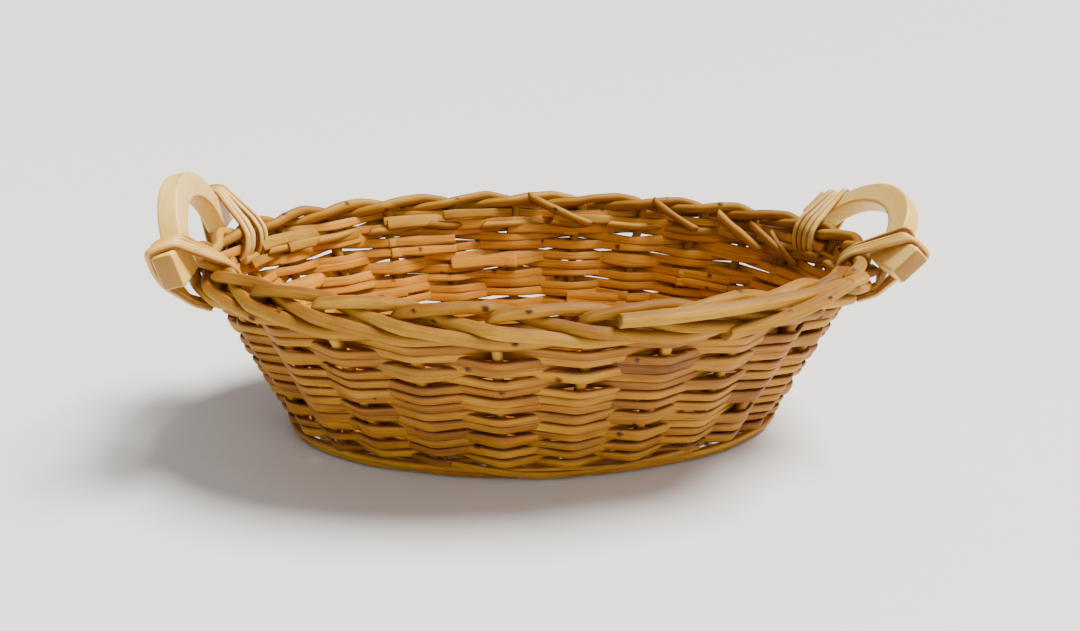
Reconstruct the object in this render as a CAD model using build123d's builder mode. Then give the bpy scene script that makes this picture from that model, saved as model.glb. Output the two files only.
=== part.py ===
from build123d import *
import os
from math import cos, hypot, radians, sin, sqrt

# Oval willow bread basket: flared stake-and-strand wall, folded-down border, two lashed wooden handles.
# Frame: origin on the table under the middle of the base, +X towards the right handle, +Z up.

# ---- driving dimensions, millimetres and degrees ----
STAKE_COUNT = 26
STAKE_DIAMETER = 5.2
FIRST_STAKE_ANGLE = -87.0           # stake 1 stands just right of the middle of the front
BASE_HALF_LENGTH = 131.4            # oval through the stake centres at table height
BASE_HALF_WIDTH = 63.9
FLARE_AT_ENDS = 0.4165              # outward run per unit of height
FLARE_AT_SIDES = 0.3247
STAKE_FOOT = 1.2                    # height of a stake's lower end

ROW_COUNT = 13
WEAVE_BOTTOM = 5.6
WEAVE_TOP = 81.0
ROW_GAP = 0.6
STRAND_THICKNESS = 2.3
RUNNING_GAP = 0.1

BORDER_TOP = 103.3                  # height at which a stake turns over into the border
BORDER_BEND = 6.0                   # bend radius there
STROKE_INSIDE = -4.6                # a border stroke's offset from the stake oval, inside and outside
STROKE_OUTSIDE = 8.8

FILLER_DIAMETER = 6.4
FILLER_START = -83.5
FILLER_END = -33.0
FILLER_HEIGHT = 101.4

RIM_STRAND_WIDTH = 3.0
RIM_STRAND_HEIGHT = 4.6

LONG_STICK_COUNT = 3
LONG_STICK_DIAMETER = 4.6
LONG_STICK_PITCH = 5.2
LONG_STICK_HALF_LENGTH = 126.0
CROSS_STICK_COUNT = 5
CROSS_STICK_DIAMETER = 8.0
CROSS_STICK_PITCH = 36.0
BASE_STICK_HEIGHT = 9.0             # height of the stick centres above the table
BASE_RING_PAIRS = 5
BASE_RING_DIAMETER = 3.4
BASE_RING_PITCH = 4.5               # between rounds along the sides
BASE_RING_END_PITCH = 3.9           # and at the ends
BASE_RING_HALF_LENGTH = 124.0       # outermost round
BASE_RING_HALF_WIDTH = 56.0

HANDLE_THICKNESS = 10.2
ARCH_HALF_SPAN = 42.5
ARCH_HEIGHT = 39.5
GRIP_HALF_SPAN = 31.6
GRIP_HEIGHT = 26.6
FOOT_HALF_SPAN = 57.0
FOOT_TOP = 17.0
SHOULDER_RADIUS = 7.0               # where the arch meets the top of the foot
HANDLE_EASING = 1.4                 # rounding of the band's long edges
HANDLE_BASE_HEIGHT = 100.8
LEFT_REACH, LEFT_LEAN = 174.5, 14.0
RIGHT_REACH, RIGHT_LEAN = 170.6, 42.0

CANE_DIAMETER = 3.1
CANE_CLEARANCE = 0.4
LASHING_LOW = 82.4                  # the cane crosses the wall between the weave and the border
TURNS_BETWEEN_STAKES = (16.85, (-5.4, -1.8, 1.8, 5.4))      # oval angle, then each turn's place beside it
TURNS_ASTRIDE_STAKE = (17.77, (-8.1, -4.5, 4.6, 8.2))
TURNS_ON_LEFT_LEGS = (5.2, 9.0, 12.8, 16.6)                    # the same turns where they cross the leg
TURNS_ON_RIGHT_LEGS = (-2.4, 1.4, 5.2, 9.0)                    # further from the foot's end on this side

STAKE_STEP = 360 / STAKE_COUNT
STAKE_ANGLES = [FIRST_STAKE_ANGLE + STAKE_STEP * i for i in range(STAKE_COUNT)]


def half_length(z):
    return BASE_HALF_LENGTH + FLARE_AT_ENDS * z


def half_width(z):
    return BASE_HALF_WIDTH + FLARE_AT_SIDES * z


def wall_point(angle, out, z):
    """Point on the oval of stake centres at height z, moved outward along the oval's normal."""
    a, b, t = half_length(z), half_width(z), radians(angle)
    normal = Vector(b * cos(t), a * sin(t), 0).normalized()
    return Vector(a * cos(t), b * sin(t), z) + normal * out


def round_rod(path, diameter):
    """Solid round rod along a wire."""
    with BuildPart() as rod:
        with BuildSketch(Plane(origin=path @ 0, z_dir=path % 0)):
            Circle(diameter / 2)
        sweep(path=path)
    return rod.part


def stake(angle):
    """Upright rod that turns over at the top, runs behind one stake, before two and in behind the next."""
    route = [
        wall_point(angle, 0, STAKE_FOOT),
        wall_point(angle, 0, WEAVE_TOP + 2),
        wall_point(angle, 2.5, BORDER_TOP),
        wall_point(angle + STAKE_STEP, STROKE_INSIDE, BORDER_TOP - 4),
        wall_point(angle + 2 * STAKE_STEP, STROKE_OUTSIDE, BORDER_TOP - 8.7),
        wall_point(angle + 3 * STAKE_STEP, STROKE_OUTSIDE, BORDER_TOP - 14.6),
        wall_point(angle + 4.1 * STAKE_STEP, STROKE_INSIDE - 1, BORDER_TOP - 16.3),
    ]
    with BuildLine() as line:
        FilletPolyline(*route, radius=[30, BORDER_BEND, 8, 8, 8])
    return round_rod(Wire(line.edges()), STAKE_DIAMETER)


def weave_row(low, high, first_side):
    """Closed strand that passes before and behind the stakes in turn."""
    middle = (low + high) / 2
    slant = FLARE_AT_ENDS * (high - low) / 2
    reach = (STAKE_DIAMETER / 2) * hypot(1, FLARE_AT_ENDS) + slant + STRAND_THICKNESS / 2 + RUNNING_GAP
    sides = [first_side * (-1) ** i for i in range(STAKE_COUNT)]
    loose = [wall_point(a, reach * s, middle) for a, s in zip(STAKE_ANGLES, sides)]
    corners = []
    for i, (a, s) in enumerate(zip(STAKE_ANGLES, sides)):
        turn = (loose[i] - loose[i - 1]).get_angle(loose[(i + 1) % STAKE_COUNT] - loose[i])
        corner = wall_point(a, s * reach / cos(radians(turn / 2)), middle)
        corners.append((corner.X, corner.Y))
    with BuildPart() as row:
        with BuildSketch(Plane.XY.offset(low)) as ring:
            with BuildLine():
                FilletPolyline(*corners, radius=reach, close=True)
            make_face()
            disc = ring.face()
            offset(amount=STRAND_THICKNESS / 2)
            offset(disc, amount=-STRAND_THICKNESS / 2, mode=Mode.SUBTRACT)
        extrude(amount=high - low)
    return row.part


def base_ring(number):
    """One round of the base weave, over and under the base sticks in turn, as a closed rod."""
    end = BASE_RING_HALF_LENGTH - BASE_RING_END_PITCH * number
    side = BASE_RING_HALF_WIDTH - BASE_RING_PITCH * number
    roundness = side / BASE_RING_HALF_WIDTH
    lift = (CROSS_STICK_DIAMETER + BASE_RING_DIAMETER) / 2 + RUNNING_GAP
    last_stick = CROSS_STICK_PITCH * (CROSS_STICK_COUNT - 1) / 2
    bundle = LONG_STICK_PITCH * (LONG_STICK_COUNT - 1) / 2 + LONG_STICK_DIAMETER / 2 + 1

    def edge_of_ring(x):
        oval = sqrt(1 - (x / BASE_RING_HALF_LENGTH) ** 2)
        return side * (1 - roundness + roundness * oval)

    # one half of the round: five cross sticks, a shoulder, then the bundle of long sticks
    shoulder_x = last_stick + (end - last_stick) * 0.55
    shoulder_y = edge_of_ring(last_stick) * 0.72
    stick_places = [-last_stick + CROSS_STICK_PITCH * i for i in range(CROSS_STICK_COUNT)]
    crossings = [[(x, -edge_of_ring(x))] for x in stick_places] + [[(end, -bundle), (end, bundle)]]
    route, over = [], (-1) ** number
    for turn in (1, -1):
        for i, points in enumerate(crossings):
            if i == CROSS_STICK_COUNT:
                route.append((turn * shoulder_x, -turn * shoulder_y, BASE_STICK_HEIGHT))
            route += [(turn * x, turn * y, BASE_STICK_HEIGHT + over * lift) for x, y in points]
            over = -over
        route.append((turn * shoulder_x, turn * shoulder_y, BASE_STICK_HEIGHT))
    with BuildLine() as line:
        FilletPolyline(*route, radius=4, close=True)
    return round_rod(Wire(line.edges()), BASE_RING_DIAMETER)


def handle(side, reach, lean):
    """Bent wooden band: an arch with turned-out feet, its plane leaning outward."""
    tilt = radians(lean)
    arch_plane = Plane(
        origin=(side * reach, 0, HANDLE_BASE_HEIGHT),
        x_dir=(0, side, 0),
        z_dir=(side * cos(tilt), 0, -sin(tilt)),
    )
    with BuildPart() as band:
        with BuildSketch(arch_plane) as outline:
            Ellipse(ARCH_HALF_SPAN, ARCH_HEIGHT)
            with Locations((0, -ARCH_HEIGHT / 2)):
                Rectangle(2 * ARCH_HALF_SPAN, ARCH_HEIGHT, mode=Mode.SUBTRACT)
            with Locations((0, FOOT_TOP / 2)):
                Rectangle(2 * FOOT_HALF_SPAN, FOOT_TOP)
            Ellipse(GRIP_HALF_SPAN, GRIP_HEIGHT, mode=Mode.SUBTRACT)
            shoulders = outline.vertices().filter_by(lambda v: GRIP_HALF_SPAN + 1 < abs(v.X) < ARCH_HALF_SPAN)
            fillet(shoulders, SHOULDER_RADIUS)
        extrude(amount=HANDLE_THICKNESS / 2, both=True)
        broad = band.faces().filter_by(Axis(arch_plane.origin, arch_plane.z_dir))
        fillet(broad.edges(), HANDLE_EASING)
    return band.part


def leg_top(y):
    """Height up the band of the handle's upper edge at width y."""
    arch = ARCH_HEIGHT * sqrt(max(0, 1 - (y / ARCH_HALF_SPAN) ** 2))
    return max(FOOT_TOP, arch)


def lashing(side, end, angle, reach, lean, spacing, on_leg):
    """Turns of round cane that hold a handle leg to the border, each a closed flat loop across the rim.

    Each loop passes under the border square to the rim at the given oval angle. Its plane leans along
    the rim as it rises, to the turn's own place on the leg.
    side and end pick the quarter of the basket: +1 or -1 along X and along Y.
    """
    skin = CANE_DIAMETER / 2 + CANE_CLEARANCE
    tilt = radians(lean)
    rim = wall_point(angle, 0, BORDER_TOP - 8)
    across = (wall_point(angle, 1, BORDER_TOP - 8) - rim).normalized()
    beside = Vector(-across.Y, across.X, 0)
    inner = STROKE_INSIDE - 1 - STAKE_DIAMETER / 2 - skin
    outer = STROKE_OUTSIDE + STAKE_DIAMETER / 2 + skin
    leg_rise = HANDLE_BASE_HEIGHT + FOOT_TOP * cos(tilt) - LASHING_LOW

    for low_step, leg_step in zip(spacing, on_leg):
        slope = (leg_step - low_step) / leg_rise

        def at_height(z):
            """Where the loop's plane meets the line along the rim at height z."""
            return rim + beside * (low_step + slope * (z - LASHING_LOW))

        def over_leg(face):
            """Distance out from the rim and height where the turn clears the leg's top edge on that face."""
            up = FOOT_TOP
            for _ in range(5):
                x = reach + up * sin(tilt) + face * cos(tilt)
                z = HANDLE_BASE_HEIGHT + up * cos(tilt) - face * sin(tilt)
                out = (x - at_height(z).X) / across.X
                up = leg_top(at_height(z).Y + across.Y * out - 3.6) + skin
            return out, z

        low_x = reach + (HANDLE_THICKNESS / 2 + skin) * cos(tilt)
        low_z = HANDLE_BASE_HEIGHT - (HANDLE_THICKNESS / 2 + skin) * sin(tilt) - skin
        profile = [
            (inner, LASHING_LOW),
            (inner + 0.6, BORDER_TOP - 3),
            (inner + 8, BORDER_TOP + STAKE_DIAMETER / 2 + skin),
            over_leg(-HANDLE_THICKNESS / 2),
            over_leg(HANDLE_THICKNESS / 2 + skin),
            ((low_x - at_height(low_z).X) / across.X, low_z),
            (outer, LASHING_LOW),
        ]
        route = []
        for out, z in profile:
            place = at_height(z) + across * out
            route.append((side * place.X, end * place.Y, z))
        with BuildLine() as line:
            FilletPolyline(*route, radius=2.2, close=True)
        yield round_rod(Wire(line.edges()), CANE_DIAMETER)


def save(part, name):
    part.label = name
    export_step(part, f"parts/{name}.step")


def save_group(solids, name):
    save(Compound(children=list(solids)), name)


os.makedirs("parts", exist_ok=True)

# ---- wall: upright stakes that end as the border, and the rows woven round them ----
for i, angle in enumerate(STAKE_ANGLES):
    save(stake(angle), f"stake_{i + 1:02d}")

row_pitch = (WEAVE_TOP - WEAVE_BOTTOM) / ROW_COUNT
for i in range(ROW_COUNT):
    low = WEAVE_BOTTOM + row_pitch * i
    save(weave_row(low, low + row_pitch - ROW_GAP, (-1) ** i), f"weave_row_{i + 1:02d}")

# ---- thick butt-ended rod laid along the front of the border ----
filler_steps = 4
filler_route = [
    wall_point(FILLER_START + (FILLER_END - FILLER_START) * i / filler_steps, STROKE_OUTSIDE, FILLER_HEIGHT)
    for i in range(filler_steps + 1)
]
with BuildLine() as filler_line:
    FilletPolyline(*filler_route, radius=60)
save(round_rod(Wire(filler_line.edges()), FILLER_DIAMETER), "border_filler_rod")

# ---- foot strand: flat-bottomed oval the basket stands on ----
with BuildPart() as rim_strand:
    with BuildSketch():
        clear = STAKE_DIAMETER / 2 + 1.9 + RUNNING_GAP
        Ellipse(BASE_HALF_LENGTH + clear + RIM_STRAND_WIDTH, BASE_HALF_WIDTH + clear + RIM_STRAND_WIDTH)
        Ellipse(BASE_HALF_LENGTH + clear, BASE_HALF_WIDTH + clear, mode=Mode.SUBTRACT)
    extrude(amount=RIM_STRAND_HEIGHT)
    fillet(rim_strand.faces().sort_by(Axis.Z)[-1].edges(), 0.8)
save(rim_strand.part, "foot_strand")

# ---- base: long sticks threaded through split cross sticks, with rounds of weaving ----
for i in range(LONG_STICK_COUNT):
    y = LONG_STICK_PITCH * (i - (LONG_STICK_COUNT - 1) / 2)
    with BuildPart() as long_stick:
        with BuildSketch(Plane(origin=(0, y, BASE_STICK_HEIGHT), z_dir=(1, 0, 0))):
            Circle(LONG_STICK_DIAMETER / 2)
        extrude(amount=LONG_STICK_HALF_LENGTH, both=True)
    save(long_stick.part, f"base_long_stick_{i + 1}")

slot_length = LONG_STICK_PITCH * (LONG_STICK_COUNT - 1) + LONG_STICK_DIAMETER + 1
slot_height = LONG_STICK_DIAMETER + 2 * RUNNING_GAP
for i in range(CROSS_STICK_COUNT):
    x = CROSS_STICK_PITCH * (i - (CROSS_STICK_COUNT - 1) / 2)
    reach = half_width(BASE_STICK_HEIGHT) * sqrt(1 - (x / half_length(BASE_STICK_HEIGHT)) ** 2) - 8.5
    with BuildPart() as cross_stick:
        with BuildSketch(Plane(origin=(x, 0, BASE_STICK_HEIGHT), z_dir=(0, 1, 0))):
            Circle(CROSS_STICK_DIAMETER / 2)
        extrude(amount=reach, both=True)
        with Locations((x, 0, BASE_STICK_HEIGHT)):
            Box(2 * CROSS_STICK_DIAMETER, slot_length, slot_height, mode=Mode.SUBTRACT)
    save(cross_stick.part, f"base_cross_stick_{i + 1}")

for i in range(BASE_RING_PAIRS):
    save_group([base_ring(2 * i), base_ring(2 * i + 1)], f"base_weave_pair_{i + 1}")

# ---- handles and their lashings ----
save(handle(-1, LEFT_REACH, LEFT_LEAN), "handle_left")
save(handle(1, RIGHT_REACH, RIGHT_LEAN), "handle_right")

for side, side_name, reach, lean, on_leg in (
    (-1, "left", LEFT_REACH, LEFT_LEAN, TURNS_ON_LEFT_LEGS),
    (1, "right", RIGHT_REACH, RIGHT_LEAN, TURNS_ON_RIGHT_LEGS),
):
    for end, end_name in ((-1, "front"), (1, "back")):
        angle, spacing = TURNS_BETWEEN_STAKES if side == end else TURNS_ASTRIDE_STAKE
        turns = lashing(side, end, angle, reach, lean, spacing, on_leg)
        save_group(turns, f"lashing_{side_name}_{end_name}")
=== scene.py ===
import math
import bpy
import numpy as np
from mathutils import Matrix, Vector

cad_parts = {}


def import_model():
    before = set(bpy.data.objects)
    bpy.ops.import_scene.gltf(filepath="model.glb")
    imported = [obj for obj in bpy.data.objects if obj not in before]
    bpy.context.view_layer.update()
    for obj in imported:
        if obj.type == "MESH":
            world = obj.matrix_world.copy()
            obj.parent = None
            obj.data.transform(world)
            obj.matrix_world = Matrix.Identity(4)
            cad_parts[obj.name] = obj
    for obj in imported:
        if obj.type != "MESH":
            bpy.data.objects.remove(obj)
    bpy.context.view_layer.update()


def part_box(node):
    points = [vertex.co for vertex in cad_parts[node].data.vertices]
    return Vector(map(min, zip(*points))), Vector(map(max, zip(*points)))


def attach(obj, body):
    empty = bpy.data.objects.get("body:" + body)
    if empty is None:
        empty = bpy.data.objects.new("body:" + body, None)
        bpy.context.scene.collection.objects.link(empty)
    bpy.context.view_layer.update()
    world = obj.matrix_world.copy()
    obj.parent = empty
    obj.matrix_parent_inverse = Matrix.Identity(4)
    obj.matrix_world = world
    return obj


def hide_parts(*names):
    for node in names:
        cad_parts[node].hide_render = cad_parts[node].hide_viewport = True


# Oval willow bread basket. Helpers work in millimetres in the part's frame; meshes are written in metres.

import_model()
SEED = 20731
rng = np.random.default_rng(SEED)
MM = 0.001

# ---- the basket's plan: the same numbers as the CAD's, millimetres and degrees ----
STAKES = 26
STEP = 360.0 / STAKES
FIRST_ANGLE = -87.0
BASE_A, BASE_B = 131.4, 63.9            # oval through the stakes at table height
FLARE_A, FLARE_B = 0.4165, 0.3247       # outward run per unit of height
ROWS = 13
BORDER_TOP = 103.3
WEAVE_TOP = 81.0

# ---- details shared by every rod ----
RIDGES = ((3, 0.018), (5, 0.012))       # count round the rod and depth, as a share of its radius
BUD_LENGTH, BUD_WIDTH, BUD_LIFT = 1.5, 1.05, 0.11
NODE_SWELL, NODE_LENGTH = 0.05, 3.5     # the rod's slight thickening at a bud
CUT_INSET, CUT_STEP, CUT_DOME = 0.86, 0.35, 0.38


def stake_angle(i):
    return FIRST_ANGLE + STEP * i


def wall(angle, out, z):
    """Points on the oval of the stakes at height z, moved outward along its normal."""
    t = np.radians(angle)
    a, b = BASE_A + FLARE_A * np.asarray(z, float), BASE_B + FLARE_B * np.asarray(z, float)
    n = np.stack([b * np.cos(t), a * np.sin(t)], -1)
    n /= np.linalg.norm(n, axis=-1, keepdims=True)
    x, y = a * np.cos(t) + n[..., 0] * out, b * np.sin(t) + n[..., 1] * out
    return np.stack([x, y, np.asarray(z, float) + 0 * x], -1)


def wall_normal(p):
    """Outward direction of the flared wall at points p."""
    a, b = BASE_A + FLARE_A * p[:, 2], BASE_B + FLARE_B * p[:, 2]
    n = np.stack([p[:, 0] / a**2, p[:, 1] / b**2], -1)
    n /= np.linalg.norm(n, axis=1, keepdims=True)
    slope = np.hypot(n[:, 0] * FLARE_A, n[:, 1] * FLARE_B)
    v = np.column_stack([n, -slope])
    return v / np.linalg.norm(v, axis=1, keepdims=True)


# ---- rods and strands ----
def smooth_noise(length, scale, amount, gen):
    """Smooth random values at 1 mm steps over a length, varying over about scale mm."""
    n = max(4, int(length / scale) + 4)
    knots = gen.normal(0, 1, n)
    x = np.linspace(0, n - 1.001, int(length) + 2)
    i = x.astype(int)
    f = x - i
    f = f * f * (3 - 2 * f)
    return amount * (knots[i] * (1 - f) + knots[np.minimum(i + 1, n - 1)] * f)


def along(points):
    return np.r_[0, np.cumsum(np.linalg.norm(np.diff(points, axis=0), axis=1))]


def resample(points, step):
    s = along(points)
    count = max(3, int(s[-1] / step) + 1)
    t = np.linspace(0, s[-1], count)
    return np.stack([np.interp(t, s, points[:, k]) for k in range(3)], -1)


def relax(points, softness, closed=False):
    """The run of points as a springy rod takes it: corners eased over about softness mm."""
    pts = np.asarray(points, float)
    if closed:
        pts = np.vstack([pts, pts[:1]])
    fine = resample(pts, 0.5)
    reach = int(softness * 6)
    kernel = np.exp(-0.5 * (np.arange(-reach, reach + 1) / (softness * 2.0)) ** 2)
    kernel /= kernel.sum()
    if closed:
        body = fine[:-1]
        padded = np.vstack([body[-reach:], body, body[:reach]])
    else:
        head = 2 * fine[0] - fine[1:reach + 1][::-1]
        tail = 2 * fine[-1] - fine[-reach - 1:-1][::-1]
        padded = np.vstack([head, fine, tail])
    out = np.stack([np.convolve(padded[:, k], kernel, "valid") for k in range(3)], -1)
    return np.vstack([out, out[:1]]) if closed else out


def section(kind, count):
    """Unit outline: first value across the rod towards the outside, second along its width."""
    a = np.linspace(0, 2 * math.pi, count, endpoint=False)
    c, s = np.cos(a), np.sin(a)
    if kind == "split":
        # domed bark side, flatter split side with soft edges
        out = np.where(c > 0, np.abs(c) ** 0.9, -0.62 * np.abs(c) ** 0.45)
        wide = np.sign(s) * np.abs(s) ** 0.8
        return np.stack([out, wide], -1), a
    return np.stack([c, s], -1), a


def spread(value, pts):
    """A radius for each point, from one number, a run of numbers along the rod or a function of points."""
    if callable(value):
        return value(pts)
    value = np.atleast_1d(np.asarray(value, float))
    if len(value) == 1:
        return np.full(len(pts), value[0])
    return np.interp(np.linspace(0, 1, len(pts)), np.linspace(0, 1, len(value)), value)


def rod(name, path, out_dirs, half_thick, half_wide, kind, material, nodes,
        step=1.5, count=14, buds=0.0, closed=False, cut_slant=0.0, lumps=0.05, twist=0.0):
    """One willow rod or strand as a closed mesh, with its grain carried as attributes."""
    gen = np.random.default_rng(hash_name(name))
    pts = resample(path, step)
    if closed:
        pts = pts[:-1]
    n = len(pts)
    s = along(pts)
    total = s[-1]
    if closed:
        tangent = np.roll(pts, -1, 0) - np.roll(pts, 1, 0)
    else:
        tangent = np.gradient(pts, axis=0)
    tangent /= np.linalg.norm(tangent, axis=1, keepdims=True)
    out = out_dirs(pts) if callable(out_dirs) else np.tile(out_dirs, (n, 1))
    out = out - (out * tangent).sum(1)[:, None] * tangent
    out /= np.linalg.norm(out, axis=1, keepdims=True)
    side = np.cross(tangent, out)
    if twist:
        turn = np.interp(s, np.arange(int(total) + 2), smooth_noise(total, 60, twist, gen))
        if closed:
            turn = turn * np.sin(np.pi * np.linspace(0, 1, n)) ** 0.5
        ct, st = np.cos(turn)[:, None], np.sin(turn)[:, None]
        out, side = out * ct + side * st, side * ct - out * st
    shape, ang = section(kind, count)
    thick, wide = spread(half_thick, pts), spread(half_wide, pts)
    wave = np.interp(s, np.arange(int(total) + 2), smooth_noise(total, 22, lumps, gen))
    if closed:
        wave = wave * np.sin(np.pi * np.linspace(0, 1, n)) ** 0.4
    grow = 1 + wave
    ridge = 1
    for waves, depth in RIDGES:
        ridge = ridge + depth * np.sin(waves * ang + gen.uniform(0, 6))
    r_out = thick[:, None] * grow[:, None] * ridge[None, :] * shape[None, :, 0]
    r_side = wide[:, None] * grow[:, None] * ridge[None, :] * shape[None, :, 1]
    bud = np.zeros((n, count))
    if buds > 0:
        place = gen.uniform(10, 30)
        while place < total - 8:
            where = gen.uniform(0, 2 * math.pi)
            big = gen.uniform(0.7, 1.3)
            da = (ang[None, :] - where + math.pi) % (2 * math.pi) - math.pi
            mean = (thick.mean() + wide.mean()) / 2
            d2 = ((s[:, None] - place) / (BUD_LENGTH * big)) ** 2 + (da * mean / (BUD_WIDTH * big)) ** 2
            bud = np.maximum(bud, np.exp(-d2))
            swell = 1 + NODE_SWELL * np.exp(-((s - place) / NODE_LENGTH) ** 2)[:, None]
            r_out, r_side = r_out * swell, r_side * swell
            place += gen.uniform(0.6, 1.5) * buds
        lift = 1 + BUD_LIFT * bud
        r_out, r_side = r_out * lift, r_side * lift
    rings = pts[:, None, :] + r_out[..., None] * out[:, None, :] + r_side[..., None] * side[:, None, :]
    verts = rings.reshape(-1, 3)
    idx = np.arange(n * count).reshape(n, count)
    nxt = np.roll(idx, -1, 1)
    if closed:
        up, upn = np.roll(idx, -1, 0), np.roll(nxt, -1, 0)
        quads = np.stack([idx, nxt, upn, up], -1).reshape(-1, 4)
    else:
        quads = np.stack([idx[:-1], nxt[:-1], nxt[1:], idx[1:]], -1).reshape(-1, 4)
    grain = np.stack([np.broadcast_to(s[:, None], (n, count)), r_out, r_side], -1).reshape(-1, 3)
    cut = np.zeros(len(verts))
    faces = [tuple(q) for q in quads]
    budf = bud.reshape(-1)
    # painted shade: 1 along the rod's sides, where it meets its neighbours, 0 across its face; the material
    # darkens by it
    edge = np.broadcast_to(np.abs(shape[None, :, 1]) ** 5, (n, count)).reshape(-1)
    pith = np.broadcast_to(shape[None, :, 0] < -0.2, (n, count)).reshape(-1).astype(float)
    if not closed:
        extra_v, extra_g, extra_c = [], [], []
        for end, sign in ((0, -1), (n - 1, 1)):
            centre = pts[end]
            t = tangent[end] * sign
            ring = rings[end]
            rad = ring - centre
            slant = (rad @ side[end])[:, None] * cut_slant * t[None, :]
            # the cut has the rod's last ring, a smaller ring a little further out, and a middle point
            base = len(verts) + len(extra_v)
            verts[idx[end]] = ring + slant
            extra_v += list(centre + rad * CUT_INSET + slant * CUT_INSET + t * CUT_STEP)
            extra_v.append(centre + t * CUT_DOME)
            extra_g += [(s[end], r_out[end, j] * CUT_INSET, r_side[end, j] * CUT_INSET) for j in range(count)]
            extra_g.append((s[end], 0, 0))
            extra_c += [1.0] * (count + 1)
            for j in range(count):
                k = (j + 1) % count
                a, b = idx[end, j], idx[end, k]
                c, d = base + k, base + j
                faces.append((a, d, c, b) if sign < 0 else (a, b, c, d))
                faces.append((d, base + count, c) if sign < 0 else (d, c, base + count))
        verts = np.vstack([verts, extra_v])
        grain = np.vstack([grain, extra_g])
        cut = np.r_[cut, extra_c]
        budf = np.r_[budf, np.zeros(len(extra_v))]
        edge = np.r_[edge, np.zeros(len(extra_v))]
        pith = np.r_[pith, np.zeros(len(extra_v))]
    write_mesh(name, verts, faces, grain, cut, budf, material, nodes, gen, edge, pith)


def hash_name(name):
    """A fixed number for each name (FNV-1a), so that each rod's random draws are its own."""
    h = 2166136261
    for ch in name:
        h = (h ^ ord(ch)) * 16777619 % 2**32
    return h


def write_mesh(name, verts, faces, grain, cut, bud, material, nodes, gen, edge=0.0, pith=0.0):
    """A piece from its points. "mask" holds, in order, its own tint, cut ends, buds and the painted shade
    along its sides.
    """
    mesh = bpy.data.meshes.new(name)
    mesh.from_pydata((verts * MM).tolist(), [], faces)
    mesh.update()
    count = len(verts)
    attr = mesh.attributes.new("grain", "FLOAT_VECTOR", "POINT")
    shifted = grain + np.array([gen.uniform(0, 4000), gen.uniform(0, 300), gen.uniform(0, 300)])
    attr.data.foreach_set("vector", (shifted * MM).astype(np.float32).ravel())
    tint = gen.uniform(0, 1)
    mask = mesh.color_attributes.new("mask", "FLOAT_COLOR", "POINT")
    colour = np.zeros((count, 4), np.float32)
    # the alpha channel carries the painted shade along the piece's sides
    colour[:, 0], colour[:, 1], colour[:, 2], colour[:, 3] = tint, cut, bud, edge
    mask.data.foreach_set("color", colour.ravel())
    inner_face = (np.zeros(count) + pith).astype(np.float32)
    mesh.attributes.new("pith", "FLOAT", "POINT").data.foreach_set("value", inner_face)
    mesh.polygons.foreach_set("use_smooth", [True] * len(mesh.polygons))
    obj = bpy.data.objects.new(name, mesh)
    bpy.context.scene.collection.objects.link(obj)
    obj.data.materials.append(material)
    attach(obj, "root")
    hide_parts(*nodes)


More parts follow.
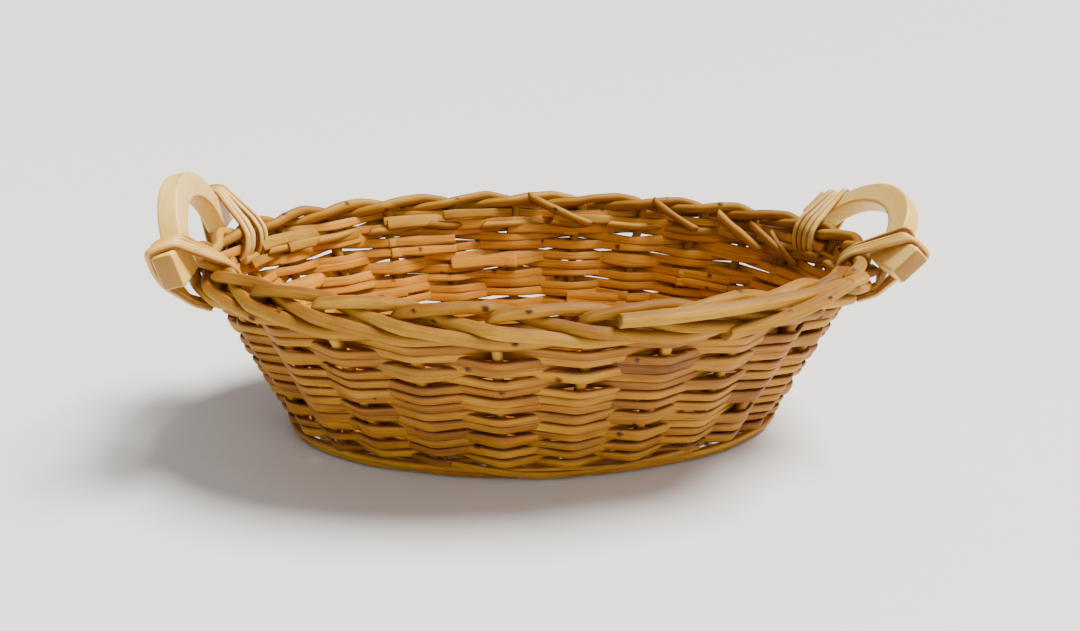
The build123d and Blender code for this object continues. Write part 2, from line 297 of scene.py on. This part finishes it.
# ---- materials ----
def willow(name, dark, mid, pale, warm, end, roughness=0.5, streak=1.0, fleck=0.25, bump=0.35, bud=True,
           own_tint=0.35, edge_shade=0.0, pith_tone=None, gloss=0.42):
    """Peeled willow or plain wood: streaks along the grain, blotches, flecks, bud scars, toned cut ends, and,
    when asked for, painted shade along the sides of each rod, where it meets its neighbours.
    """
    mat = bpy.data.materials.new(name)
    mat.use_nodes = True
    nt = mat.node_tree
    nt.nodes.clear()
    new = nt.nodes.new
    link = nt.links.new
    output = new("ShaderNodeOutputMaterial")
    bsdf = new("ShaderNodeBsdfPrincipled")
    link(bsdf.outputs[0], output.inputs[0])
    grain = new("ShaderNodeAttribute")
    grain.attribute_name = "grain"
    mask = new("ShaderNodeAttribute")
    mask.attribute_name = "mask"
    split = new("ShaderNodeSeparateColor")
    link(mask.outputs["Color"], split.inputs[0])

    def mapped(scale):
        m = new("ShaderNodeMapping")
        m.inputs["Scale"].default_value = scale
        link(grain.outputs["Vector"], m.inputs["Vector"])
        return m.outputs[0]

    def noise(vector, scale, detail, rough=0.55, distortion=0.0):
        t = new("ShaderNodeTexNoise")
        t.inputs["Scale"].default_value = scale
        t.inputs["Detail"].default_value = detail
        t.inputs["Roughness"].default_value = rough
        t.inputs["Distortion"].default_value = distortion
        link(vector, t.inputs["Vector"])
        return t.outputs[0]

    def ramp(value, stops):
        r = new("ShaderNodeValToRGB")
        r.color_ramp.elements[0].position, r.color_ramp.elements[0].color = stops[0][0], (*stops[0][1], 1)
        r.color_ramp.elements[1].position, r.color_ramp.elements[1].color = stops[-1][0], (*stops[-1][1], 1)
        for at, col in stops[1:-1]:
            e = r.color_ramp.elements.new(at)
            e.color = (*col, 1)
        link(value, r.inputs[0])
        return r.outputs[0]

    def mix(kind, factor, a, b):
        m = new("ShaderNodeMix")
        m.data_type = "RGBA"
        m.blend_type = kind
        for socket, value in ((m.inputs[0], factor), (m.inputs[6], a), (m.inputs[7], b)):
            if isinstance(value, (int, float)):
                socket.default_value = value
            elif isinstance(value, tuple):
                socket.default_value = (*value, 1)
            else:
                link(value, socket)
        return m.outputs[2]

    def math_node(kind, a, b):
        m = new("ShaderNodeMath")
        m.operation = kind
        for socket, value in zip(m.inputs, (a, b)):
            if isinstance(value, (int, float)):
                socket.default_value = value
            else:
                link(value, socket)
        return m.outputs[0]

    one = (1.0, 1.0, 1.0)
    broad = noise(mapped((18, 60, 60)), 1.0, 3)
    streaks = noise(mapped((26, 900, 900)), 1.0, 5, 0.62, 0.3)
    fine = noise(mapped((140, 3200, 3200)), 1.0, 3, 0.6)
    base = ramp(broad, [(0.30, dark), (0.48, mid), (0.68, pale)])
    own = ramp(split.outputs[0], [(0.0, warm), (0.45, mid), (1.0, pale)])
    colour = mix("MIX", own_tint, base, own)
    streak_tone = ramp(streaks, [(0.34, (0.55, 0.42, 0.30)), (0.50, one), (0.72, (1.14, 1.12, 1.06))])
    colour = mix("MULTIPLY", 0.75 * streak, colour, streak_tone)
    fine_tone = ramp(fine, [(0.36, (0.72, 0.64, 0.55)), (0.55, one)])
    colour = mix("MULTIPLY", 0.55, colour, fine_tone)
    spots = noise(mapped((420, 900, 900)), 1.0, 2, 0.5)
    spot_tone = ramp(spots, [(0.20, (0.30, 0.20, 0.13)), (0.29, one)])
    colour = mix("MULTIPLY", fleck, colour, spot_tone)
    if pith_tone:
        inside = new("ShaderNodeAttribute")
        inside.attribute_name = "pith"
        colour = mix("MIX", math_node("MULTIPLY", inside.outputs["Fac"], 0.62), colour,
                     mix("MULTIPLY", 0.8, pith_tone, streak_tone))
    # painted shade: darkens the sides of each rod and strand, where it meets its neighbours, broken up by
    # noise
    if edge_shade:
        shade_noise = noise(mapped((160, 500, 500)), 1.0, 3)
        depth = math_node("MULTIPLY", mask.outputs["Alpha"], math_node("ADD", shade_noise, 0.5))
        edge_shade_tone = ramp(depth, [(0.10, one), (0.85, (0.30, 0.14, 0.035))])
        colour = mix("MULTIPLY", edge_shade, colour, edge_shade_tone)
    if bud:
        ragged = noise(mapped((700, 900, 900)), 1.0, 3)
        soft = math_node("MULTIPLY", split.outputs[2], math_node("ADD", ragged, 0.55))
        scar_tone = ramp(soft, [(0.18, one), (0.42, (0.62, 0.46, 0.30)), (0.72, (0.16, 0.10, 0.06))])
        colour = mix("MULTIPLY", 1.0, colour, scar_tone)
    cut_noise = noise(mapped((0, 2200, 2200)), 1.0, 4)
    cut_tone = ramp(cut_noise, [(0.35, tuple(c * 0.72 for c in end)), (0.65, end)])
    colour = mix("MIX", split.outputs[1], colour, cut_tone)
    link(colour, bsdf.inputs["Base Color"])
    rough = new("ShaderNodeMapRange")
    rough.inputs["To Min"].default_value = roughness - 0.10
    rough.inputs["To Max"].default_value = roughness + 0.16
    link(streaks, rough.inputs["Value"])
    link(rough.outputs[0], bsdf.inputs["Roughness"])
    bsdf.inputs["Specular IOR Level"].default_value = gloss
    height = math_node("ADD", math_node("MULTIPLY", streaks, 0.7), math_node("MULTIPLY", fine, 0.35))
    node = new("ShaderNodeBump")
    node.inputs["Strength"].default_value = bump
    node.inputs["Distance"].default_value = 0.0006
    link(height, node.inputs["Height"])
    link(node.outputs[0], bsdf.inputs["Normal"])
    return mat


# each takes its dark, middle, pale and warm tones, then the tone of its cut ends, and how strongly painted
# shade darkens the sides of its rods
border_mat = willow(
    "border_willow", (0.18, 0.060, 0.002), (0.36, 0.155, 0.006), (0.62, 0.345, 0.036), (0.29, 0.108, 0.003),
    end=(0.34, 0.15, 0.025), roughness=0.56, streak=0.6, fleck=0.5, bump=0.24, own_tint=0.5, edge_shade=0.65,
    gloss=0.22)
strand_mat = willow(
    "split_willow", (0.15, 0.045, 0.002), (0.36, 0.138, 0.004), (0.64, 0.325, 0.018), (0.29, 0.108, 0.003),
    end=(0.50, 0.25, 0.04), roughness=0.46, streak=1.0, fleck=0.35, bump=0.45, edge_shade=0.85,
    pith_tone=(0.80, 0.33, 0.014), gloss=0.28)
base_mat = willow(
    "base_willow", (0.17, 0.052, 0.004), (0.33, 0.125, 0.012), (0.50, 0.24, 0.042), (0.26, 0.085, 0.006),
    end=(0.42, 0.20, 0.04), roughness=0.55, fleck=0.4, edge_shade=0.7)
cane_mat = willow(
    "round_cane", (0.48, 0.23, 0.022), (0.74, 0.43, 0.075), (0.91, 0.64, 0.20), (0.64, 0.34, 0.045),
    end=(0.42, 0.22, 0.05), roughness=0.40, streak=0.4, fleck=0.3, bump=0.22, edge_shade=0.9)
handle_mat = willow(
    "handle_wood", (0.84, 0.47, 0.075), (0.94, 0.60, 0.125), (0.98, 0.71, 0.21), (0.89, 0.53, 0.10),
    end=(0.44, 0.20, 0.028), roughness=0.36, streak=0.16, fleck=0.0, bump=0.07, bud=False)

# ---- stakes with their border strokes ----
# each comes in from the base, runs up the wall, turns over, and passes behind one stake, before two, in again
STAKE_PLACES = [0, 0.06, 0.14, 0.40, 0.55, 0.85, 1]
STAKE_RADII = [2.1, 2.3, 2.6, 2.85, 3.0, 2.8, 2.3]
for i in range(STAKES):
    a = stake_angle(i)
    j = rng.normal(0, 1, 16)
    tail = 4.42 + 0.10 * j[11]
    route = np.vstack([
        wall(a, -15.0, 9.0),
        wall(a, -6.5, 7.4),
        wall(a, -1.2, 7.4),
        wall(a, 0.0, 13.0),
        wall(a + 0.2 * j[0], 0.0, 40.0),
        wall(a + 0.3 * j[1], 0.2, WEAVE_TOP),
        wall(a - 1.6 + 0.3 * j[2], 1.4, BORDER_TOP - 9),
        wall(a - 0.4, 2.2, BORDER_TOP - 2.9 + 0.3 * j[3]),
        wall(a + 0.34 * STEP, 1.8, BORDER_TOP + 0.2 + 0.3 * j[4]),
        wall(a + 0.75 * STEP, -2.6, BORDER_TOP - 0.4 + 0.3 * j[5]),
        wall(a + 1.05 * STEP, -4.6, BORDER_TOP - 2.2 + 0.3 * j[5]),
        wall(a + 1.50 * STEP, 2.0, BORDER_TOP - 5.8 + 0.4 * j[6]),
        wall(a + 2 * STEP, 8.8 + 0.3 * j[7], BORDER_TOP - 7.4 + 0.4 * j[8]),
        wall(a + 2.5 * STEP, 9.6, BORDER_TOP - 10.4 + 0.4 * j[9]),
        wall(a + 3 * STEP, 9.0, BORDER_TOP - 13.8 + 0.4 * j[10]),
        wall(a + 3.5 * STEP, 2.2, BORDER_TOP - 15.4),
        wall(a + 4.0 * STEP, -5.2, BORDER_TOP - 15.4),
        wall(a + tail * STEP, -6.4 + 0.4 * j[12], BORDER_TOP - 14.4 + 0.6 * j[13]),
    ])
    fat = rng.uniform(0.94, 1.09)
    radius = np.interp(np.linspace(0, 1, 60), STAKE_PLACES, STAKE_RADII) * fat
    rod(f"willow_stake_{i + 1:02d}", relax(route, 2.4), wall_normal, radius, radius, "round", border_mat,
        [f"stake_{i + 1:02d}"], step=1.3, count=16, buds=42, cut_slant=0.7, lumps=0.04)

# ---- the butt-ended rod on the front of the border, and a second one with a knot ----
filler_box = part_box("border_filler_rod")
filler_z = (filler_box[0][2] + filler_box[1][2]) / 2 / MM
angles = np.linspace(-83.5, -32.5, 8)
heights = filler_z + np.array([-0.6, 0.2, 0.9, 1.5, 1.8, 1.9, 1.6, 0.8])
butt = np.vstack([wall(q, 8.6, z) for q, z in zip(angles, heights)])
taper = np.linspace(3.5, 2.9, 20)
rod("willow_filler_rod", relax(butt, 6.0), wall_normal, taper, taper, "round", border_mat,
    ["border_filler_rod"], step=1.2, count=20, buds=38, cut_slant=0.15, lumps=0.05)
twig = np.vstack([wall(-66, 11.8, 90.5), wall(-60, 14.4, 94.0), wall(-53, 15.6, 99.5),
                  wall(-46.5, 14.6, 104.5), wall(-42.5, 12.6, 106.4)])
taper = np.linspace(2.7, 3.1, 20)
rod("willow_filler_twig", relax(twig, 5.0), wall_normal, taper, taper, "round", border_mat,
    ["border_filler_rod"], step=1.1, count=16, buds=14, cut_slant=0.7, lumps=0.08)


# ---- wall rows: split strands that bow round the stakes and narrow where they cross ----
def strand_height(tall, waist):
    """Half the height of a strand: full where it passes a stake, and the waist midway between two."""
    def height(pts):
        a, b = BASE_A + FLARE_A * pts[:, 2], BASE_B + FLARE_B * pts[:, 2]
        turns = (np.degrees(np.arctan2(pts[:, 1] / b, pts[:, 0] / a)) - FIRST_ANGLE) / STEP
        return waist + (tall - waist) * np.abs(np.cos(math.pi * turns)) ** 1.1
    return height


def weave_round(label, nodes, middle, side, tall, waist, thick, cuts, wobble, reach=4.6):
    """One round of randing: strands laid end to end, each join overlapping behind two stakes."""
    spans = np.diff(np.r_[cuts, cuts[0] + STAKES])
    for part, (first, span) in enumerate(zip(cuts, spans)):
        pts = []
        level = wobble * rng.normal()
        for idx in range(first, first + span + 2):
            sign = side * (-1) ** (idx % 2)
            level = 0.6 * level + 0.8 * wobble * rng.normal()
            out = sign * (reach + 0.22 * rng.normal())
            if idx in (first, first + span + 1):
                out = -abs(out) - 0.8
            pts.append(wall(stake_angle(idx) - 0.7, out, middle + level))
            pts.append(wall(stake_angle(idx) + 0.7, out, middle + level))
        scale = rng.uniform(0.92, 1.08)
        rod(f"willow_{label}_{part + 1}", relax(np.vstack(pts), 2.2), wall_normal,
            np.linspace(1.08, 0.92, 30) * thick * scale,
            strand_height(tall * scale, waist * scale), "split", strand_mat, nodes,
            step=1.5, count=14, buds=80, lumps=0.05, twist=0.07)


row_box = [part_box(f"weave_row_{k + 1:02d}") for k in range(ROWS)]
for k in range(ROWS):
    middle = (row_box[k][0][2] + row_box[k][1][2]) / 2 / MM
    side = (-1) ** k
    nodes = [f"weave_row_{k + 1:02d}"]
    first = int(rng.integers(0, STAKES // 2))
    cuts = [first, first + int(rng.integers(11, 16))]
    tall = rng.uniform(4.4, 5.2)
    if rng.random() < 0.5:
        # two thinner strands, one above the other
        for half, shift in (("a", -0.27), ("b", 0.27)):
            weave_round(f"row_{k + 1:02d}{half}", nodes, middle + shift * 2 * tall, side, tall * 0.58, 2.9,
                        1.35, cuts, wobble=0.8)
    else:
        weave_round(f"row_{k + 1:02d}", nodes, middle, side, tall, 3.5, 1.5, cuts, wobble=0.65)
# thin rounds that fill the wall up to the border: height above the weave, first side, half height
UPPER_ROUNDS = ((3.8, -1, 3.6), (8.4, 1, 3.1), (12.6, -1, 2.7))
for extra, (height, side, tall) in enumerate(UPPER_ROUNDS):
    weave_round(f"row_{ROWS + 1 + extra}", ["weave_row_13"], WEAVE_TOP + height, side, tall, tall * 0.95, 1.2,
                [3 + 2 * extra, 12 + extra, 19 + extra], wobble=0.6, reach=3.9)

# ---- loose ends inside the rim ----
# square-cut strands that stop short: from and to angle, height, half width
CUT_ENDS = ((136, 158, 93.0, 3.4), (128, 149, 88.0, 2.8), (104, 121, 92.0, 3.4), (93, 108, 95.0, 2.8),
            (150, 166, 86.0, 2.6), (70, 84, 91.5, 2.8))
for n, (start, stop, z, half_wide) in enumerate(CUT_ENDS):
    q = np.linspace(start, stop, 6)
    out = np.array([-1.0, -3.8, -6.2, -7.0, -7.4, -8.2])
    rise = z + np.array([-1.4, -0.6, 0.0, 0.4, 0.5, 0.3])
    rod(f"willow_cut_end_{n + 1}", relax(wall(q, out, rise), 4.0), wall_normal, 1.25, half_wide, "split",
        border_mat, ["weave_row_13"], step=1.3, count=14, lumps=0.04, twist=0.1)
# tails of border rods that slope down the inside: from and to angle, from and to height, radius
TAILS = ((89, 76, 104.0, 89.0, 2.5), (62, 51, 103.5, 90.0, 2.4), (46, 31, 99.0, 84.0, 2.7),
         (37, 22, 97.0, 84.5, 2.4), (30, 16, 93.0, 81.0, 2.2))
for n, (start, stop, top, foot, radius) in enumerate(TAILS):
    q = np.linspace(start, stop, 5)
    out = np.array([-4.5, -7.2, -8.4, -8.4, -7.4])
    fall = top + (foot - top) * np.linspace(0, 1, 5) ** 0.9
    rod(f"willow_tail_{n + 1}", relax(wall(q, out, fall), 5.0), wall_normal, radius, radius, "round",
        border_mat, ["weave_row_13"], step=1.3, count=14, buds=26, cut_slant=0.8, lumps=0.06)

# ---- foot: two rounds at the turn from base to wall, and a loose strand at the front ----
foot_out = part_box("foot_strand")[1][0] / MM - BASE_A - FLARE_A * 2.3 - 2.6
foot_rounds = ((2.95, 2.2, foot_out, 0.0), (6.0, 2.0, foot_out + 0.7, 0.5))     # height, radius, out, sway
for part, (low, radius, out, sway) in enumerate(foot_rounds):
    q = np.arange(0, 360, 9.0)
    z = low + sway * np.sin(np.radians(3 * q + 70))
    ring = wall(q, out + 0.5 * np.sin(np.radians(13 * q)), z)
    rod(f"willow_foot_{part + 1}", relax(ring, 4.0, closed=True), wall_normal, radius, radius, "round",
        strand_mat, ["foot_strand"], step=1.8, count=12, buds=70, closed=True, lumps=0.06)
q = np.array([-112.0, -104, -96, -88, -80, -72, -64, -56])
loose_out = foot_out + np.array([0.8, 1.8, 2.6, 2.4, 1.8, 1.4, 1.0, 0.6])
loose_z = np.array([9.8, 6.2, 4.0, 3.5, 4.4, 6.2, 8.2, 9.8])
rod("willow_foot_loose", relax(wall(q, loose_out, loose_z), 6.0), wall_normal, 1.2, np.linspace(2.7, 2.0, 10),
    "split", strand_mat, ["foot_strand"], step=1.5, count=12)

# ---- base: long sticks through split cross sticks, with weavers round them ----
UP = np.array([0.0, 0.0, 1.0])
for n in range(3):
    low, high = (np.array(v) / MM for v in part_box(f"base_long_stick_{n + 1}"))
    mid = (low + high) / 2
    xs = np.linspace(low[0], high[0], 9)
    path = np.column_stack([xs, mid[1] + 0.3 * rng.normal(size=9), np.full(9, mid[2])])
    rod(f"willow_long_stick_{n + 1}", relax(path, 6.0), UP, 2.3, 2.4, "round", base_mat,
        [f"base_long_stick_{n + 1}"], step=2.0, count=12, buds=60)
for n in range(5):
    low, high = (np.array(v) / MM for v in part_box(f"base_cross_stick_{n + 1}"))
    mid = (low + high) / 2
    ys = np.linspace(low[1], high[1], 9)
    for half, sign in (("upper", 1), ("lower", -1)):
        slit = np.exp(-(ys / 12.0) ** 4)
        path = np.column_stack([np.full(len(ys), mid[0]), ys, mid[2] + sign * (1.9 + 1.6 * slit)])
        rod(f"willow_cross_stick_{n + 1}_{half}", relax(path, 3.0), UP * sign, 1.9, 3.7, "split", base_mat,
            [f"base_cross_stick_{n + 1}"], step=1.6, count=14)

BASE_ROUNDS = 12
STICK_PITCH, STICK_Z = 36.0, 9.0
RING_A, RING_B = 124.0, 56.0            # half length and half width of the CAD's outermost round
BUNDLE = 8.5                            # half width left clear round the three long sticks


def base_round(number, high_low):
    """The line of one base weaver, over and under the sticks in turn, a little outside the CAD's round."""
    end, side = 127.5 - 3.9 * number, 59.8 - 4.5 * number
    f = side / RING_B
    last = STICK_PITCH * 2

    def edge(x):
        return side * (1 - f + f * math.sqrt(1 - (x / RING_A) ** 2))

    shoulder = (last + (end - last) * 0.55, edge(last) * 0.72)
    pts, over = [], (-1) ** number
    for turn in (1, -1):
        for n in range(5):
            x = -last + STICK_PITCH * n
            pts.append((turn * x, -turn * edge(x), STICK_Z + over * high_low))
            over = -over
        pts.append((turn * shoulder[0], -turn * shoulder[1], STICK_Z))
        crossing = STICK_Z + over * high_low * 0.8
        pts += [(turn * end, -turn * BUNDLE, crossing), (turn * end, turn * BUNDLE, crossing)]
        over = -over
        pts.append((turn * shoulder[0], turn * shoulder[1], STICK_Z))
    return np.array(pts)


for n in range(BASE_ROUNDS):
    rod(f"willow_base_round_{n + 1}", relax(base_round(n, 5.5), 5.0, closed=True), UP, 1.65, 2.05, "round",
        base_mat, [f"base_weave_pair_{min(n // 2, 4) + 1}"], step=2.2, count=10, buds=90,
        closed=True, lumps=0.06)

# ---- handles: Y is along the handle's span, V up its leaning plane ----
ARCH_Y, ARCH_V, GRIP_Y, GRIP_V = 42.5, 39.5, 31.6, 26.6
FOOT_Y, FOOT_V, BAND, EASE = 57.0, 17.0, 10.2, 1.3
HANDLE_Z = 100.8
HANDLES = {"left": (-1, 174.5, 14.0), "right": (1, 170.6, 42.0)}      # side, reach, lean in degrees


def leg_top(y):
    """Height up the band of its upper edge at y."""
    return np.maximum(FOOT_V, ARCH_V * np.sqrt(np.maximum(0, 1 - (np.abs(y) / ARCH_Y) ** 2)))


def handle_piece(name):
    """One bent wooden band with turned-out feet, as rings from one foot's end to the other's."""
    side, reach, lean = HANDLES[name]
    tilt = math.radians(lean)
    gen = np.random.default_rng(hash_name(name))
    # upper and lower edge of the band, from one foot's end to the other's, in matched stretches
    corner = ARCH_Y * math.sqrt(1 - (FOOT_V / ARCH_V) ** 2)
    t_top = np.linspace(math.acos(-corner / ARCH_Y), math.acos(corner / ARCH_Y), 90)
    arch_top = np.column_stack([ARCH_Y * np.cos(t_top), ARCH_V * np.sin(t_top)])
    t_low = np.linspace(math.pi, 0, 90)
    arch_low = np.column_stack([GRIP_Y * np.cos(t_low), GRIP_V * np.sin(t_low)])
    ys = np.linspace(-FOOT_Y, -corner - 1.0, 18)
    yl = np.linspace(-FOOT_Y, -GRIP_Y - 1.0, 18)
    foot_top, foot_low = np.full(len(ys), FOOT_V), np.zeros(len(yl))
    top = np.vstack([np.column_stack([ys, foot_top]), arch_top, np.column_stack([-ys[::-1], foot_top])])
    low = np.vstack([np.column_stack([yl, foot_low]), arch_low, np.column_stack([-yl[::-1], foot_low])])

    def ease(edge, sigma):
        k = np.exp(-0.5 * (np.arange(-12, 13) / sigma) ** 2)
        k /= k.sum()
        pad = np.vstack([2 * edge[0] - edge[1:13][::-1], edge, 2 * edge[-1] - edge[-13:-1][::-1]])
        return np.column_stack([np.convolve(pad[:, c], k, "valid") for c in range(2)])

    top, low = ease(top, 3.2), ease(low, 1.6)
    n = len(top)
    mid = (top + low) / 2
    across = (top - low) / 2
    half = np.linalg.norm(across, axis=1)
    across /= half[:, None]
    s = along(mid)
    # slight hand-shaped unevenness, and eased ends
    steps = np.arange(int(s[-1]) + 2)
    half = half + np.interp(s, steps, smooth_noise(s[-1], 30, 0.18, gen))
    thick = BAND / 2 + np.interp(s, steps, smooth_noise(s[-1], 40, 0.14, gen))
    shrink = np.minimum(1, np.minimum(s, s[-1] - s) / 1.2)
    shrink = 0.9 + 0.1 * np.sqrt(shrink)
    half, thick = half * (0.5 + 0.5 * shrink), thick * shrink
    ring_a, ring_b = [], []
    for ca, cb, start in ((1, 1, 0), (-1, 1, 90), (-1, -1, 180), (1, -1, 270)):
        for degrees, run in ((0, -0.7), (0, 0), (30, 0), (60, 0), (90, 0), (90, 0.7)):
            t = math.radians(start + degrees)
            ring_a.append((ca, EASE * math.cos(t) - run * math.sin(t)))
            ring_b.append((cb, EASE * math.sin(t) + run * math.cos(t)))
    ring_a, ring_b = np.array(ring_a), np.array(ring_b)
    count = len(ring_a)
    pa = ring_a[None, :, 0] * (half[:, None] - EASE) + ring_a[None, :, 1]
    pb = ring_b[None, :, 0] * (thick[:, None] - EASE) + ring_b[None, :, 1]
    y = mid[:, None, 0] + across[:, None, 0] * pa
    v = mid[:, None, 1] + across[:, None, 1] * pa

    def world(y, v, o):
        return np.stack([side * (reach + v * math.sin(tilt) + o * math.cos(tilt)), side * y,
                         HANDLE_Z + v * math.cos(tilt) - o * math.sin(tilt)], -1)

    verts = world(y, v, pb).reshape(-1, 3)
    idx = np.arange(n * count).reshape(n, count)
    nxt = np.roll(idx, -1, 1)
    faces = [tuple(q) for q in np.stack([idx[:-1], nxt[:-1], nxt[1:], idx[1:]], -1).reshape(-1, 4)]
    grain = np.stack([np.broadcast_to(s[:, None], pa.shape), pa, pb], -1).reshape(-1, 3)
    cut = np.zeros(len(verts))
    verts, grain, cut = list(verts), list(grain), list(cut)
    for end, sign in ((0, -1), (n - 1, 1)):
        base = len(verts)
        for jj in range(count):
            verts.append(world(np.array(y[end, jj] + sign * 0.45 - (y[end, jj] - mid[end, 0]) * 0.08),
                               np.array(v[end, jj] - (v[end, jj] - mid[end, 1]) * 0.10),
                               np.array(pb[end, jj] * CUT_INSET)))
            grain.append((s[end], pa[end, jj] * 0.9, pb[end, jj] * CUT_INSET))
            cut.append(1.0)
        verts.append(world(np.array(mid[end, 0] + sign * 0.5), np.array(mid[end, 1]), np.array(0.0)))
        grain.append((s[end], 0, 0))
        cut.append(1.0)
        for jj in range(count):
            kk = (jj + 1) % count
            a, b, c, d = idx[end, jj], idx[end, kk], base + kk, base + jj
            faces.append((a, d, c, b) if sign < 0 else (a, b, c, d))
            faces.append((d, base + count, c) if sign < 0 else (d, c, base + count))
    verts, grain, cut = np.array(verts), np.array(grain), np.array(cut)
    if side > 0:
        faces = [f[::-1] for f in faces]
    write_mesh(f"wood_handle_{name}", verts, faces, grain, cut, np.zeros(len(verts)), handle_mat,
               [f"handle_{name}"], gen)


for name in HANDLES:
    handle_piece(name)

# ---- lashings: one cane wound over the handle leg and under the border ----
CANE = 1.74
LASH_LOW = 83.0
LASH_IN, LASH_OUT = -9.6, 13.0          # how far in and out of the stakes the cane passes
# oval angle of the lashing, and each turn's place beside it under the border
BETWEEN_STAKES = (16.85, (-5.4, -1.8, 1.8, 5.4))
ASTRIDE_STAKE = (17.77, (-8.1, -4.5, 4.6, 8.2))
# the same turns where they cross the leg
ON_LEG = {"left": (4.6, 8.2, 11.8, 15.4), "right": (-2.2, 1.5, 5.2, 8.9)}


def lashing(name, end, between):
    """Four turns of cane at one foot. end is -1 at the front and 1 at the back."""
    side, reach, lean = HANDLES[name]
    tilt = math.radians(lean)
    angle, beneath = BETWEEN_STAKES if between else ASTRIDE_STAKE
    rim = wall(angle, 0, BORDER_TOP - 8)
    across = wall(angle, 1, BORDER_TOP - 8) - rim
    across[2] = 0
    beside = np.array([-across[1], across[0], 0])
    skin = CANE + 0.15
    rise = HANDLE_Z + FOOT_V * math.cos(tilt) - LASH_LOW

    def place(turn, z):
        return rim + beside * (beneath[turn] + (ON_LEG[name][turn] - beneath[turn]) * (z - LASH_LOW) / rise)

    def on_leg(turn, face, up):
        x = reach + up * math.sin(tilt) + face * math.cos(tilt)
        z = HANDLE_Z + up * math.cos(tilt) - face * math.sin(tilt)
        return (x - place(turn, z)[0]) / across[0], z

    def over_leg(turn, face):
        """Where the turn clears the leg's top edge on that face, found by closing in on it."""
        up = FOOT_V
        for _ in range(5):
            out, z = on_leg(turn, face, up)
            up = float(leg_top((place(turn, z) + across * out)[1] - 1.0)) + skin
        return on_leg(turn, face, up)

    pts = []
    half = BAND / 2
    for turn in range(4):
        crown_in, crown_out = over_leg(turn, -half - 0.2), over_leg(turn, half + 0.2)
        crown = ((crown_in[0] + crown_out[0]) / 2, (crown_in[1] + crown_out[1]) / 2 + 0.5)
        loop = [
            (LASH_IN + 3.6, LASH_LOW + 4.5), (LASH_IN + 1.0, BORDER_TOP - 9), (LASH_IN + 2.0, BORDER_TOP - 2),
            (LASH_IN + 7.0, BORDER_TOP + 3.2), crown_in, crown, crown_out,
            on_leg(turn, half + skin, FOOT_V * 0.5), on_leg(turn, half + skin, 0.5),
            (LASH_OUT, LASH_LOW + 4), ((LASH_IN + LASH_OUT) / 2 + 3, LASH_LOW - 0.6),
        ]
        for out, z in loop:
            p = place(turn, z) + across * out
            pts.append((side * p[0], end * p[1], z))
    path = relax(np.array(pts), 1.6)
    centre = path.mean(0)
    node = f"lashing_{name}_{'front' if end < 0 else 'back'}"
    rod(f"cane_{node}", path, lambda p: p - centre, CANE, CANE * 1.04, "round", cane_mat, [node],
        step=0.9, count=14, buds=60, cut_slant=0.6, lumps=0.05)


for name in HANDLES:
    for end in (-1, 1):
        lashing(name, end, between=(HANDLES[name][0] == end))

# ---- floor, light and camera, in metres ----
FLOOR = 40                              # half its side
floor_mesh = bpy.data.meshes.new("floor")
floor_mesh.from_pydata([(-FLOOR, -FLOOR, 0), (FLOOR, -FLOOR, 0), (FLOOR, FLOOR, 0), (-FLOOR, FLOOR, 0)], [],
                       [(0, 1, 2, 3)])
floor = bpy.data.objects.new("floor", floor_mesh)
bpy.context.scene.collection.objects.link(floor)
floor_mat = bpy.data.materials.new("floor_paper")
floor_mat.use_nodes = True
paper = floor_mat.node_tree.nodes["Principled BSDF"]
paper.inputs["Base Color"].default_value = (0.78, 0.78, 0.77, 1)
paper.inputs["Roughness"].default_value = 0.7
floor.data.materials.append(floor_mat)


def light(name, kind, towards, energy, colour):
    """A light shining along the direction towards."""
    data = bpy.data.lights.new(name, kind)
    data.energy, data.color = energy, colour
    obj = bpy.data.objects.new(name, data)
    obj.rotation_euler = towards.to_track_quat("-Z", "Y").to_euler()
    bpy.context.scene.collection.objects.link(obj)
    return obj


sun = light("window", "SUN", -Vector((0.50, 0.10, 1.0)), 8.8, (1.0, 0.97, 0.92))
sun.data.angle = 0.42
FILL_PLACE, FILL_TARGET = Vector((0.9, -1.2, 0.55)), Vector((0, 0, 0.05))
fill = light("fill", "AREA", FILL_TARGET - FILL_PLACE, 6, (1.0, 0.98, 0.95))
fill.location = FILL_PLACE
fill.data.shape, fill.data.size = "DISK", 0.9
world = bpy.data.worlds.new("studio")
world.use_nodes = True
world.node_tree.nodes["Background"].inputs[0].default_value = (0.90, 0.91, 0.93, 1)
world.node_tree.nodes["Background"].inputs[1].default_value = 0.44
bpy.context.scene.world = world

camera_data = bpy.data.cameras.new("camera")
camera_data.sensor_width = 36.0
camera_data.lens = 29.2
camera_data.shift_y = 0.020
camera_data.clip_start = 0.01
camera = bpy.data.objects.new("camera", camera_data)
CAMERA_PLACE, CAMERA_ROLL = (-0.0596, -0.4443, 0.2440), math.radians(1.734)
forward = Vector((0.12115, 0.90823, -0.40057))
level = Vector((0.99122, -0.13222, 0.0))
upright = Vector((0.05296, 0.39705, 0.91627))
right = level * math.cos(CAMERA_ROLL) + upright * math.sin(CAMERA_ROLL)
up = upright * math.cos(CAMERA_ROLL) - level * math.sin(CAMERA_ROLL)
facing = Matrix((right, up, -forward)).transposed().to_4x4()
camera.matrix_world = Matrix.Translation(CAMERA_PLACE) @ facing
bpy.context.scene.collection.objects.link(camera)
bpy.context.scene.camera = camera
